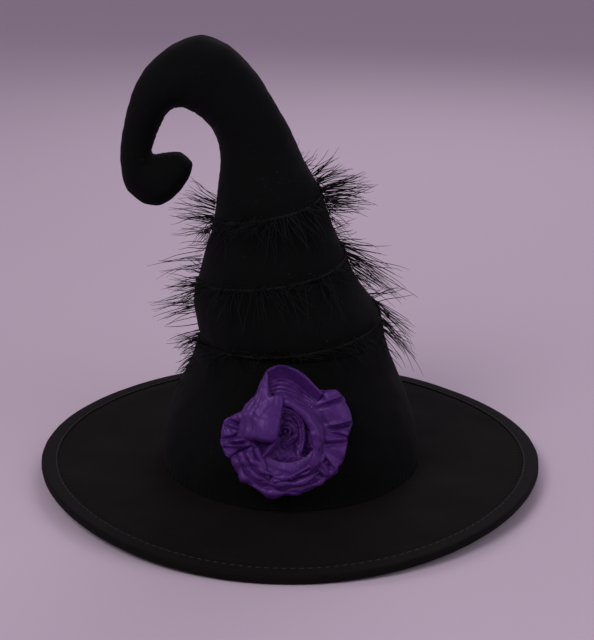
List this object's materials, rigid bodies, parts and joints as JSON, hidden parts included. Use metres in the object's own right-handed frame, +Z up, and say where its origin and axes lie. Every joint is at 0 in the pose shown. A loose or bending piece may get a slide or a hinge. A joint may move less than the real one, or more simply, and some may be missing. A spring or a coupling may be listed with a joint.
{
  "type": "curly witch hat",
  "caption": "Black costume witch hat with a wide round brim, a leaning crown that curls over at its tip, a wound feather trim and a violet satin rosette on the front.",
  "frame": {"origin": "centre of the brim's underside, on the surface that the brim rests on", "axes": "+Z up out of the crown, -Y the front of the hat where the rosette sits, -X the side that the tip curls towards"},
  "size_m": [0.3999, 0.4, 0.3423],
  "materials": {
    "brim_felt": "black felt-like suede cloth, short nap",
    "crown_felt": "black felt-like suede cloth, short nap",
    "binding_tape": "black woven binding tape",
    "foam": "dark grey sheet foam",
    "wire": "bare steel shaping wire",
    "thread": "black polyester thread",
    "lining_satin": "thin black satin",
    "sweatband_ribbon": "black ribbed ribbon",
    "seam_tape": "black twill tape",
    "stuffing": "white polyester fibre",
    "feather": "black feather barbs",
    "trim_cord": "black cotton cord",
    "rosette_satin": "violet satin ribbon, soft sheen",
    "rosette_felt": "dark violet felt"
  },
  "bodies": {
    "root": {"brim_under_cloth": "brim_felt", "brim_foam_core": "foam", "brim_top_cloth": "brim_felt", "brim_edge_binding": "binding_tape", "brim_edge_wire": "wire", "brim_edge_stitches": "thread", "sweatband": "sweatband_ribbon", "crown_brim_seam_tape": "seam_tape", "crown_base_panel": "crown_felt", "crown_base_foam": "foam", "crown_base_lining": "lining_satin", "crown_front_panel": "crown_felt", "crown_back_panel": "crown_felt", "crown_front_foam": "foam", "crown_back_foam": "foam", "crown_front_lining": "lining_satin", "crown_back_lining": "lining_satin", "crown_waist_seam_tape": "seam_tape", "crown_tip_stuffing": "stuffing", "curl_wire": "wire", "feather_trim_cord": "trim_cord", "feather_fringe_1": "feather", "feather_fringe_2": "feather", "feather_fringe_3": "feather", "feather_fringe_4": "feather", "feather_fringe_5": "feather", "feather_fringe_6": "feather", "rosette_backing": "rosette_felt", "rosette_outer_ruffle": "rosette_satin", "rosette_petal_upper_left": "rosette_satin", "rosette_petal_top": "rosette_satin", "rosette_petal_bottom": "rosette_satin", "rosette_petal_right": "rosette_satin", "rosette_petal_lower_left": "rosette_satin", "rosette_petal_inner_top": "rosette_satin", "rosette_petal_inner_bottom": "rosette_satin", "rosette_bud": "rosette_satin", "rosette_tack_stitches": "thread"}
  },
  "joints": []
}
